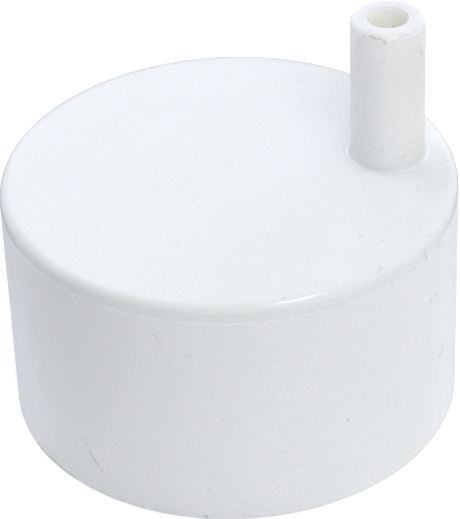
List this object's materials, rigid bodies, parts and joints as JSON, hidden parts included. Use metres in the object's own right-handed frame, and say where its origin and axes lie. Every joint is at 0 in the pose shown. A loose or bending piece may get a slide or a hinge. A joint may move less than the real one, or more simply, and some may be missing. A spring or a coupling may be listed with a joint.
{
  "type": "pipe plug",
  "caption": "Round cup-shaped end plug for a plastic drain pipe, open underneath, with a thick-walled open nozzle standing off centre on its flat closed end.",
  "frame": {"origin": "centre of the open rim, in the plane that the rim stands on", "axes": "+Z along the cup's axis, from the open rim to the flat closed end; +X towards the nozzle, which stands parallel to +Z; +Y makes the frame right-handed, and the plane y = 0 is the mirror plane"},
  "size_m": [0.11, 0.11, 0.099],
  "materials": {
    "white_plastic": "smooth moulded white plastic, half gloss, lightly used"
  },
  "bodies": {
    "root": {"plug_body": "white_plastic"}
  },
  "joints": []
}
